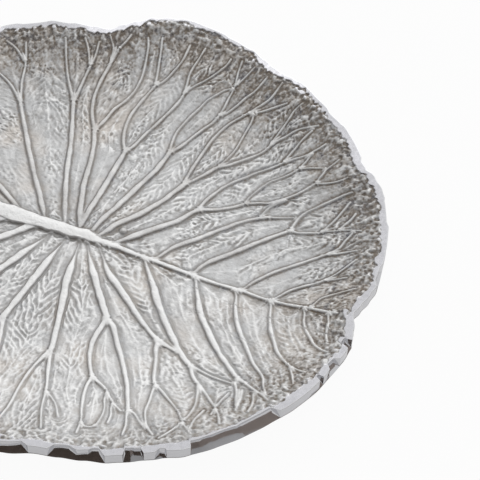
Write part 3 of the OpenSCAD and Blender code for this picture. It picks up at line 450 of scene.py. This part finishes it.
# The panels between the veins: pillows with herringbone barbs that lean outwards and meet in the middle, then the
# finer marks of the sand. The leaf's lower half, right of the midrib, has fewer pits and longer fibres.
lower = soft(6, -8, y)
rim_zone = soft(0.86, 1.0, share)
ragged = at_turn(turn, ragged_shares)
streak = grain(turn * 2 * np.pi * leaf_r, reach / 5, 1.5, 9)
barb = np.cos(2 * np.pi * ((along - 1.55 * near) / 5.2 + phase
                           + 0.60 * grain(x, y, 9, 3) + 0.30 * grain(x, y, 3.4, 4)))
barb = ((barb + 1) / 2) ** 1.4 * soft(0.3, 1.8, near) \
    * soft(-0.3, 0.6, grain(x, y, 15, 5) + 0.2 * np.sign(y + 4)) * (0.45 + 0.55 * soft(-40, 10, x))
stroke = threads(along - 1.4 * near + 7 * phase, near * 0.30 + phase, 1.6, 31, 2.2) * soft(0.1, 1.2, near)
spine = np.exp(-((second - near) / 1.1) ** 2) * soft(1.0, 3.0, near)
groove = np.exp(-((near - 0.05) / 0.34) ** 2) * (0.7 + 0.3 * grain(x, y, 2.3, 21))
fibre = grain(along * 0.8 + 7 * phase, near * 3.6, 5.0, 17) + 0.6 * grain(along + 3 * phase, near * 3.0, 2.6, 18)
reed = threads(along * 0.35 + 11 * phase, near * 1.3 + phase, 3.2, 38, 3) * soft(0.4, 1.4, near)
rough_patch = np.clip(soft(-0.2, 0.6, grain(x, y, 24, 15)) * 0.8 + 0.2 + np.exp(-(reach / 24) ** 2), 0, 1.3)
scratch = threads(along * 0.6 + 13 * phase, near * 1.7, 4.2, 23, 9) \
    + threads(x, y, 4.6, 24, 12) * (0.4 + 0.6 * rough_patch)
pit = soft(0.45, 0.80, grain(x, y, 1.3, 33)) * (0.3 + 0.7 * rough_patch)
marks = (0.46 + 0.12 * lower) * barb * (1 - 0.6 * rim_zone * ragged) + 0.26 * spine
marks += (0.24 - 0.08 * lower) * grain(x, y, 4.2, 7)
marks += (0.16 - 0.06 * lower) * stroke * (1 - 0.5 * rim_zone)
marks -= (1 - 0.5 * lower) * (0.30 * scratch + 0.42 * pit)
marks += (0.12 + 0.02 * lower) * fibre * (1 - rim_zone * ragged)
marks += 0.36 * lower * reed
marks += (0.05 + 0.15 * rough_patch) * grain(x, y, 1.7, 8)
marks += 0.07 * grain(x, y, 0.8, 16)
panel = 0.38 * (1 - np.exp(-np.maximum(near, 0) / 2.2)) - 0.40 * groove
panel += (0.20 + 0.12 * lower) * grain(x, y, 11, 6)
panel += (0.45 + 0.75 * soft(-0.55, 0.25, grain(x, y, 17, 35))) * marks
panel += rim_zone * (0.50 * ragged * streak + 0.75 * grain(x, y, 1.7, 10))


# The relief with its detail below a size in mm taken out
def soften(height, size):
    waves = np.add.outer(np.fft.fftfreq(height.shape[0]) ** 2, np.fft.rfftfreq(height.shape[1]) ** 2)
    cells = size * half / leaf_r
    return np.fft.irfft2(np.fft.rfft2(height) * np.exp(-2 * (np.pi * cells) ** 2 * waves), height.shape)


# Wiping has worn some patches smooth
relief = np.maximum(ridge + 0.07 * grain(x, y, 1.9, 8) + 0.05 * grain(x, y, 0.8, 34), panel * 0.9)
worn = (0.65 - 0.40 * lower) * soft(-0.25, 0.45, grain(x, y, 13, 42)) * soft(0.3, 0.1, ridge) * (1 - 0.6 * rim_zone)
relief = soften(relief, 0.20) * (1 - worn) + soften(relief, 0.55) * worn

# The leaf's side lies a little under the plain bowl. The rim's land is ground flat, so the relief stops there at a
# ragged edge.
land_here = np.maximum(at_turn(turn, land_shares) + at_turn(turn, wider_shares), flare_at(turn) + 0.7)
inside = rim_r(turn) - reach - land_here
torn = 0.40 * grain(x, y, 3.2, 19) + 0.25 * grain(x, y, 1.4, 20) + streak + 0.75 * grain(x, y, 6.0, 43)
dish_z = leaf_top(turn, np.minimum(share, 1)) - 0.80 * soft(70, 120, reach)
raw_z = dish_z + relief * (1 - (0.90 - 0.25 * ragged) * soft(2.2, 0.3, inside)) \
    + (1.8 + 0.8 * ragged) * (1 - soft(-0.1, 1.2, inside + ragged * torn))
land_z = rim_top(turn)
z = np.minimum(raw_z, land_z)
ground = soft(-0.10, 0.02, raw_z - land_z)

# The dark places: patina in the hollows and beside the veins, and painted shade on the side of each vein away from
# the light and right under the midrib, on its front. The first five rows of veins are the midrib and its stalk, and
# the first three the midrib alone.
of_midrib, of_stalk_too = phase < 2.5 * phase_step, phase < 4.5 * phase_step
under_midrib = of_midrib & (y < near_y) & (near > -0.3) & (x > 0)
# Painted shade: a broad dark band along the front of the midrib, as if cast by it
midrib_shade = soft(9.5, 1.5, near) * soft(0.0, 4.0, second - near) \
    * (0.85 + 0.35 * grain(x, y, 2.5, 45) + 0.45 * grain(x, y, 1.1, 46)) * under_midrib
# Painted shade: which side of its vein a place lies on, above 0 away from the light, and that side painted darker
shade_side = ((x - near_x) * (0.60 - 1.50 * lower) - (y - near_y) * (0.80 - 0.38 * lower)) \
    / np.maximum(np.hypot(x - near_x, y - near_y), 0.1)
dark_side = (1 - 0.65 * soft(0.5, -0.5, shade_side)) * (1 - 0.6 * under_midrib)
shaded = dark_side * np.exp(-np.maximum(near, 0) / (0.8 + 0.8 * lower * soft(0.0, 0.7, shade_side))) \
    * soft(-0.60, -0.05, near) * (0.55 + 0.60 * grain(x, y, 8, 37))
# Patina in the hollows, then the painted shade beside the veins added in
hollows_and_shade = np.clip((soften(relief, 2.2) - relief) / 0.60, 0, 1) * 0.30
hollows_and_shade += np.clip((soften(relief, 0.8) - relief - 0.015 * (1 - lower)) / 0.14, 0, 1) * (0.80 - 0.14 * lower)
hollows_and_shade += (0.48 + 0.44 * lower) * shaded
# Painted light: less darkening over the leaf's lower half, left lighter as if more light fell there, and less towards
# the middle of the upper half
hollows_and_shade *= (1 - 0.55 * lower) * (1 - 0.30 * (1 - lower) * soft(0.85, 0.45, share))
hollows_and_shade += 0.50 * np.maximum(midrib_shade, 0)


# A round blot with a soft edge, for what differs from place to place
def blot(at_x, at_y, size):
    return np.exp(-((x - at_x) ** 2 + (y - at_y) ** 2) / size ** 2)


# The high places that the wiping left bright, with a painted highlight on the crests, and the leaf's lower half
# painted lighter all over, as if more light fell there
# Partly a painted highlight: the crests are painted lighter than the wiping alone would leave them
crest = np.clip((relief - soften(relief, 1.0)) / 0.14, 0, 1) * soft(0.5, 0.1, ridge) \
    * (0.30 + 0.25 * lower + 0.42 * blot(45, 22, 55))
wiped_and_lit_place = (relief - soften(relief, 2.7)) / 0.5 + 0.38 * lower + 0.4 * of_stalk_too * soft(0.1, 0.5, ridge)
wiped_and_lit_place += (1 - 0.30 * lower) * (1 - rim_zone) * (crest + 0.22 * (1 - lower) * blot(12, 18, 38))
wiped_and_lit_place = np.clip(wiped_and_lit_place, 0, 1)

# The patina's band round the rim, wiped off the crests, and its stain along the veins
band = soft(at_turn(turn, patina_starts), 0.985, share + 0.03 * grain(x, y, 9, 11))
patina = band * at_turn(turn, patina_shares) \
    * (0.66 + 0.40 * grain(x, y, 3.0, 12) + 0.74 * grain(x, y, 0.9, 36) + 0.45 * ragged * streak)
patina = np.clip(patina + 0.10 * grain(x, y, 22, 13) + 0.05 * grain(x, y, 2.2, 14), 0, 1)
patina *= 1 - 0.50 * wiped_and_lit_place * rim_zone
patina *= 1 - 0.90 * soft(0.10, 0.42, ridge) * soft(1.02, 0.94, share)
patina = np.maximum(patina, (0.26 - 0.24 * lower) * soft(0.90, 0.55, share) * ~of_stalk_too
                    * soft(0.10, 0.50, ridge) * (1 + 0.5 * grain(x, y, 6, 41)))
warmth = 1.6 * blot(132, -4, 32) + 0.7 * blot(-22, 95, 45) - 0.8 * blot(60, 42, 60)

surface = np.stack([x + hub[0], y + hub[1], z], axis=-1) * MM
facing = np.cross(np.gradient(surface, axis=1), np.gradient(surface, axis=0))
facing /= np.linalg.norm(facing, axis=-1, keepdims=True)


# Material nodes: each is made in a tree at a place, and its sockets are given a value or another node's output
def feed(tree, socket, value):
    if isinstance(value, bpy.types.NodeSocket):
        tree.links.new(value, socket)
    else:
        socket.default_value = value


def node(tree, kind, place, **sockets):
    made = tree.nodes.new(kind)
    made.location = place
    for name, value in sockets.items():
        feed(tree, made.inputs[name.replace("_", " ")], value)
    return made


def noise(tree, place, coord, scale, detail, roughness=0.5):
    return node(tree, "ShaderNodeTexNoise", place, Vector=coord, Scale=scale, Detail=detail,
                Roughness=roughness).outputs["Fac"]


def kept(tree, name, place):
    made = node(tree, "ShaderNodeAttribute", place)
    made.attribute_name = name
    return made.outputs["Fac"]


def mixed(tree, place, factor, a, b):
    made = node(tree, "ShaderNodeMix", place)
    made.data_type = "RGBA"
    for socket, value in ((made.inputs[0], factor), (made.inputs[6], a), (made.inputs[7], b)):
        feed(tree, socket, value)
    return made.outputs[2]


def worked(tree, place, action, *values, clamp=True):
    made = node(tree, "ShaderNodeMath", place)
    made.operation = action
    made.use_clamp = clamp
    for socket, value in zip(made.inputs, values):
        feed(tree, socket, value)
    return made.outputs[0]


def eased(tree, place, value, low, high, to_low=0.0, to_high=1.0):
    return node(tree, "ShaderNodeMapRange", place, Value=value, From_Min=low, From_Max=high,
                To_Min=to_low, To_Max=to_high).outputs[0]


dull_grey, light_grey, warm_grey = (0.52, 0.52, 0.52, 1), (0.63, 0.635, 0.64, 1), (0.64, 0.605, 0.57, 1)
bright_grey, ground_grey = (0.865, 0.865, 0.862, 1), (0.61, 0.61, 0.64, 1)
dark_brown, light_brown, slate = (0.075, 0.058, 0.046, 1), (0.26, 0.215, 0.172, 1), (0.125, 0.122, 0.135, 1)
casting = bpy.data.materials.new("wiped_cast_aluminium")
casting.use_nodes = True
t = casting.node_tree
metal = t.nodes["Principled BSDF"]
coord = node(t, "ShaderNodeTexCoord", (-1600, 0)).outputs["Object"]
hollows_and_shade_a, wiped_and_lit_a = kept(t, "hollows_and_shade", (-1400, 500)), kept(t, "wiped_and_lit_place", (-1400, 350))
patina_a, ground_a = kept(t, "patina", (-1400, 200)), kept(t, "ground", (-1400, 50))
speck = noise(t, (-1400, -150), coord, 1300.0, 3.0, 0.7)
cloud = noise(t, (-1400, -350), coord, 160.0, 4.0, 0.62)
pebble = node(t, "ShaderNodeTexVoronoi", (-1400, -600), Vector=coord, Scale=950.0).outputs["Distance"]
# The wiped metal: grey, cloudy, yellowish in places, and bright where it is high, partly as a painted highlight on
# the crests, and painted lighter over the leaf's lower half
wiped = mixed(t, (-900, 300), eased(t, (-1100, 300), cloud, 0.35, 0.65), dull_grey, light_grey)
warm = noise(t, (-1400, -800), coord, 38.0, 2.0)
warm = worked(t, (-1350, 600), "MULTIPLY_ADD", kept(t, "warmth", (-1550, 600)), 0.15, warm)
warm = worked(t, (-1250, 450), "MULTIPLY_ADD", patina_a, 0.34, warm)
wiped = mixed(t, (-800, 400), eased(t, (-1100, 450), warm, 0.52, 0.74), wiped, warm_grey)
shine = mixed(t, (-700, 300), wiped_and_lit_a, wiped, bright_grey)
# The crease: a thin dark line at the foot of each vein, patina in the crease and partly painted shade, stronger on
# the vein's side away from the light and broken by the specks and the clouds
from_foot = worked(t, (-1300, 700), "SUBTRACT", kept(t, "vein_gap", (-1500, 700)), 0.12, clamp=False)
from_foot = worked(t, (-1200, 700), "ABSOLUTE", from_foot, clamp=False)
crease_and_shade_line = worked(t, (-900, 700), "MULTIPLY", eased(t, (-1100, 700), from_foot, 0.55, 0.0),
                eased(t, (-1100, 550), speck, 0.30, 0.60, 0.10, 0.85))
shade_side_broken = worked(t, (-900, 850), "MULTIPLY", kept(t, "dark_side", (-1100, 850)),
                eased(t, (-1100, 1000), cloud, 0.40, 0.60, 0.25, 1.0))
crease_and_shade_line = worked(t, (-800, 700), "MULTIPLY", crease_and_shade_line, shade_side_broken)
# The patina and painted shade: brown, with a slate grey in some clouds, over the low places, the rim's band and the
# creases, with the painted shade on each vein's side away from the light and along the front of the midrib
stain_and_shade = worked(t, (-900, 150), "MULTIPLY_ADD", patina_a, 0.86, worked(t, (-1100, 150), "MULTIPLY", hollows_and_shade_a, 0.75))
stain_and_shade = worked(t, (-800, 150), "MULTIPLY", stain_and_shade, eased(t, (-1000, 50), speck, 0.38, 0.62, 0.60, 1.25))
stain_and_shade = worked(t, (-700, 150), "MAXIMUM", stain_and_shade, crease_and_shade_line)
brown = mixed(t, (-900, 0), eased(t, (-1100, 0), speck, 0.4, 0.62), dark_brown, light_brown)
brown = mixed(t, (-600, -50), eased(t, (-800, -100), cloud, 0.50, 0.66), brown, slate)
tone = mixed(t, (-500, 200), stain_and_shade, shine, brown)
# The land is ground bare, smooth and bluish
t.links.new(mixed(t, (-300, 200), ground_a, tone, ground_grey), metal.inputs["Base Color"])
t.links.new(eased(t, (-300, 0), stain_and_shade, 0.0, 1.0, 0.95, 0.55), metal.inputs["Metallic"])
t.links.new(eased(t, (-300, -150), ground_a, 0.0, 1.0, 0.46, 0.12), metal.inputs["Roughness"])
dents = worked(t, (-900, -500), "MULTIPLY_ADD", pebble, 0.4, worked(t, (-1100, -500), "MULTIPLY", speck, 0.6))
bump = node(t, "ShaderNodeBump", (-500, -400), Strength=eased(t, (-700, -300), ground_a, 0.0, 1.0, 0.45, 0.02),
            Distance=0.0004, Height=dents)
t.links.new(bump.outputs["Normal"], metal.inputs["Normal"])

fields = {"hollows_and_shade": hollows_and_shade, "wiped_and_lit_place": wiped_and_lit_place, "patina": patina, "ground": ground,
          "vein_gap": np.clip(near, -3, 8), "dark_side": dark_side, "warmth": warmth}
thirds = [slice(k * part_cells, (k + 1) * part_cells + 1) for k in range(3)]
names = ["leaf_%s_%s" % (a, b) for b in ("right", "middle", "left") for a in ("stalk", "hub", "tip")]
for number, name in enumerate(names):
    part = (thirds[number // 3], thirds[number % 3])
    bpy.ops.object.select_all(action="DESELECT")
    bpy.ops.mesh.primitive_grid_add(x_subdivisions=part_cells, y_subdivisions=part_cells, size=leaf_r * MM)
    piece = bpy.context.object
    piece.name = piece.data.name = name
    piece.data.vertices.foreach_set("co", surface[part].reshape(-1))
    for label, field in fields.items():
        values = field[part].astype(np.float32).ravel()
        piece.data.attributes.new(label, "FLOAT", "POINT").data.foreach_set("value", values)
    piece.data.update()
    bpy.ops.object.shade_smooth()
    piece.data.normals_split_custom_set_from_vertices(facing[part].reshape(-1, 3))
    piece.data.materials.append(casting)
    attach(piece, "root")
    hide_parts("leaf_casting")

# The rim and the underside
# Outside the leaf the casting is ground by hand on a belt: a flat land on top, and a wall of short irregular flats
# below it that mirror what stands round the plate. The underside is a plain smooth bowl, satin from the same belt.
wall, tuck = 4.5, 0.54
rim_points = 8 * half
# Rings from the land outwards, in from the edge and down, then down the wall, and in under the bowl to the middle
land_rings = [(seam_in, 0.0), (0.28, 0.0), (0.07, 0.02), (0.01, 0.09)]
wall_rings = 6
under_shares = [0.985, 0.96, 0.93, 0.89, 0.84, 0.79, 0.74, 0.68, 0.62, 0.56, 0.51, 0.47, 0.30, 0.12]
rim_rings = len(land_rings) + wall_rings + len(under_shares)


def rim_ring(k, turn):
    outer, top, free, shift = rim_r(turn), rim_top(turn), flat_at(turn), flare_at(turn)
    if k < len(land_rings):
        back, drop = land_rings[k]
        return outer - shift - back, top - drop
    k -= len(land_rings)
    if k < wall_rings:
        s = (0.04, 0.5 * free, free, 0.34 + 0.66 * free, 0.67 + 0.33 * free, 1.0)[k]
        flare = shift * (np.maximum(0, s - free) / (1 - free)) ** 1.3
        return outer - shift + flare - tuck * s, top - band_h * s
    s = under_shares[k - wall_rings]
    return (outer - land_w) * s, leaf_top(turn, s) - wall


bpy.ops.object.select_all(action="DESELECT")
bpy.ops.mesh.primitive_circle_add(vertices=rim_points, radius=leaf_r * MM)
rim = bpy.context.object
rim.name = rim.data.name = "rim_and_underside"
bpy.ops.object.mode_set(mode="EDIT")
bpy.ops.mesh.select_all(action="SELECT")
for _ in range(rim_rings):
    bpy.ops.mesh.extrude_region_move(TRANSFORM_OT_translate={"value": (0, 0, -MM)})
bpy.ops.mesh.merge(type="CENTER")
bpy.ops.object.mode_set(mode="OBJECT")
places = np.zeros(len(rim.data.vertices) * 3)
rim.data.vertices.foreach_get("co", places)
places = places.reshape(-1, 3)
ring_of = np.rint(-places[:, 2] / MM).astype(int)
turns = np.arctan2(places[:, 1], places[:, 0]) / (2 * np.pi) % 1
turns = np.rint(turns * rim_points) / rim_points % 1
for k in range(rim_rings):
    ring = ring_of == k
    r, height = rim_ring(k, turns[ring])
    angle = 2 * np.pi * turns[ring]
    places[ring] = np.stack([hub[0] + r * np.cos(angle), hub[1] + r * np.sin(angle), height], axis=-1) * MM
places[ring_of == rim_rings] = np.array([hub[0], hub[1], floor_z - wall]) * MM
rim.data.vertices.foreach_set("co", places.ravel())
rim.data.update()
bpy.ops.object.mode_set(mode="EDIT")
bpy.ops.mesh.select_all(action="SELECT")
bpy.ops.mesh.normals_make_consistent(inside=False)
bpy.ops.object.mode_set(mode="OBJECT")
bpy.ops.object.shade_smooth_by_angle(angle=math.radians(16))

polished = bpy.data.materials.new("belt_polished_aluminium")
polished.use_nodes = True
t = polished.node_tree
metal = t.nodes["Principled BSDF"]
coord = node(t, "ShaderNodeTexCoord", (-1200, 0)).outputs["Object"]
haze = noise(t, (-900, 0), coord, 60.0, 4.0)
belt_lines = noise(t, (-900, -250), coord, 700.0, 5.0, 0.7)
t.links.new(mixed(t, (-500, 200), haze, (0.575, 0.575, 0.595, 1), (0.66, 0.66, 0.675, 1)), metal.inputs["Base Color"])
metal.inputs["Metallic"].default_value = 1.0
t.links.new(eased(t, (-500, 0), haze, 0.3, 0.7, 0.05, 0.11), metal.inputs["Roughness"])
bump = node(t, "ShaderNodeBump", (-500, -250), Strength=0.03, Distance=0.0002, Height=belt_lines)
t.links.new(bump.outputs["Normal"], metal.inputs["Normal"])
rim.data.materials.append(polished)
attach(rim, "root")
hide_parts("leaf_casting")

# The pads
# Four round pads of dark rubber, stuck to the flat under the leaf so that the plate doesn't scratch a table. They keep
# their CAD shape and get the rubber's matt, slightly dusty skin.
rubber = bpy.data.materials.new("matt_rubber")
rubber.use_nodes = True
t = rubber.node_tree
skin = t.nodes["Principled BSDF"]
coord = node(t, "ShaderNodeTexCoord", (-1200, 0)).outputs["Object"]
dust = noise(t, (-900, 0), coord, 350.0, 4.0)
dusty = eased(t, (-700, 200), dust, 0.35, 0.7)
t.links.new(mixed(t, (-500, 200), dusty, (0.10, 0.10, 0.105, 1), (0.16, 0.16, 0.16, 1)), skin.inputs["Base Color"])
t.links.new(eased(t, (-500, 0), dust, 0.3, 0.7, 0.62, 0.82), skin.inputs["Roughness"])
bump = node(t, "ShaderNodeBump", (-500, -250), Strength=0.25, Distance=0.0002, Height=dust)
t.links.new(bump.outputs["Normal"], skin.inputs["Normal"])
for name in ("pad_tip_left", "pad_tip_right", "pad_stalk_left", "pad_stalk_right"):
    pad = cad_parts[name]
    pad.data.materials.clear()
    pad.data.materials.append(rubber)

# The table, the studio round it and the camera
# A plain white table, which the camera sees as white with the plate's shadow left on it. Two low screens, dark brown
# in front and dusky on the right, are what the rim's ground flats mirror, and a soft light stands behind the plate.
bpy.ops.object.select_all(action="DESELECT")
bpy.ops.mesh.primitive_plane_add(size=30.0)
table = bpy.context.object
table.name = "table"
white = bpy.data.materials.new("white_table")
white.use_nodes = True
t = white.node_tree
paint = t.nodes["Principled BSDF"]
paint.inputs["Base Color"].default_value = (0.94, 0.94, 0.94, 1)
paint.inputs["Roughness"].default_value = 0.8
paint.inputs["Specular IOR Level"].default_value = 0.1
seen = node(t, "ShaderNodeLightPath", (-600, 200)).outputs
bare = node(t, "ShaderNodeEmission", (-300, -200), Color=(1, 1, 1, 1), Strength=1.0)
lit = node(t, "ShaderNodeMixShader", (0, 0))
veil = worked(t, (-400, 200), "MULTIPLY", seen["Is Glossy Ray"], 0.5)
t.links.new(worked(t, (-200, 200), "MULTIPLY_ADD", seen["Is Camera Ray"], 0.94, veil), lit.inputs[0])
t.links.new(paint.outputs[0], lit.inputs[1])
t.links.new(bare.outputs[0], lit.inputs[2])
t.links.new(lit.outputs[0], t.nodes["Material Output"].inputs["Surface"])
table.data.materials.append(white)


def room_side(name, corners, colour):
    bpy.ops.object.select_all(action="DESELECT")
    bpy.ops.mesh.primitive_plane_add(size=1.0)
    made = bpy.context.object
    made.name = name
    for vertex, corner in zip(made.data.vertices, corners):
        vertex.co = corner
    shade = bpy.data.materials.new(name)
    shade.use_nodes = True
    feed(shade.node_tree, shade.node_tree.nodes["Principled BSDF"].inputs["Base Color"], colour)
    feed(shade.node_tree, shade.node_tree.nodes["Principled BSDF"].inputs["Roughness"], 0.9)
    made.data.materials.append(shade)
    made.visible_camera = False
    return made


screen = room_side("dark_side_of_room", [(-1.5, -1.3, 0.0), (1.5, -1.3, 0.0), (-1.5, -1.3, 0.75), (1.5, -1.3, 0.75)],
                   (0.075, 0.056, 0.044, 1))
side = room_side("side_of_room", [(1.4, -1.3, 0.0), (1.4, 1.3, 0.0), (1.4, -1.3, 0.60), (1.4, 1.3, 0.60)],
                 (0.44, 0.38, 0.345, 1))
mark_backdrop(table, screen, side)

# The world's light is stronger from behind the plate and from above. The camera sees plain white there.
world = bpy.data.worlds.new("studio")
bpy.context.scene.world = world
world.use_nodes = True
t = world.node_tree
sky = t.nodes["Background"]
way = node(t, "ShaderNodeTexCoord", (-1200, 0)).outputs["Generated"]
toward = node(t, "ShaderNodeVectorMath", (-1000, -200))
toward.operation = "DOT_PRODUCT"
t.links.new(way, toward.inputs[0])
toward.inputs[1].default_value = (0.0, 0.87, 0.40)
rising = eased(t, (-800, -200), toward.outputs["Value"], -0.35, 0.92)
glow = eased(t, (-500, -200), worked(t, (-650, -200), "POWER", rising, 1.4), 0.0, 1.0, 0.36, 1.10)
both = node(t, "ShaderNodeMix", (-300, 0))
t.links.new(node(t, "ShaderNodeLightPath", (-700, 200)).outputs["Is Camera Ray"], both.inputs[0])
t.links.new(glow, both.inputs[2])
both.inputs[3].default_value = 1.0
t.links.new(both.outputs[0], sky.inputs["Strength"])
sky.inputs["Color"].default_value = (1.0, 1.0, 1.0, 1)

lamp_data = bpy.data.lights.new("back_light", "AREA")
lamp_data.shape, lamp_data.size, lamp_data.energy = "SQUARE", 0.7, 1.1
lamp = bpy.data.objects.new("back_light", lamp_data)
bpy.context.scene.collection.objects.link(lamp)
lamp.location = (-0.45, 1.45, 1.00)
lamp.rotation_mode = "QUATERNION"
lamp.rotation_quaternion = (Vector((0, 0, 0)) - lamp.location).to_track_quat("-Z", "Y")

# The camera looks from the front right, and the hub lies some pixels left of the picture's middle and above it
azimuth, elevation = math.radians(24), math.radians(50)
back = np.array([math.sin(azimuth) * math.cos(elevation), -math.cos(azimuth) * math.cos(elevation),
                 math.sin(elevation)])
right = np.array([math.cos(azimuth), math.sin(azimuth), 0.0])
above = np.cross(back, right)
picture_pixels, pixels_per_mm, distance, sensor = 480, 1.984, 1343.3, 36.0
hub_left, hub_up = 157, 2
aim = np.array([hub[0], hub[1], floor_z]) + right * hub_left / pixels_per_mm - above * hub_up / pixels_per_mm
camera_data = bpy.data.cameras.new("camera")
camera_data.sensor_width = sensor
camera_data.lens = sensor * pixels_per_mm * distance / picture_pixels
camera_data.clip_start, camera_data.clip_end = 0.05, 50.0
camera = bpy.data.objects.new("camera", camera_data)
bpy.context.scene.collection.objects.link(camera)
camera.matrix_world = Matrix.Translation(Vector((aim + back * distance) * MM)) @ Matrix(
    np.stack([right, above, back], axis=1).tolist()).to_4x4()
bpy.context.scene.camera = camera
bpy.context.scene.view_settings.view_transform = "Standard"

low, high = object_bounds()
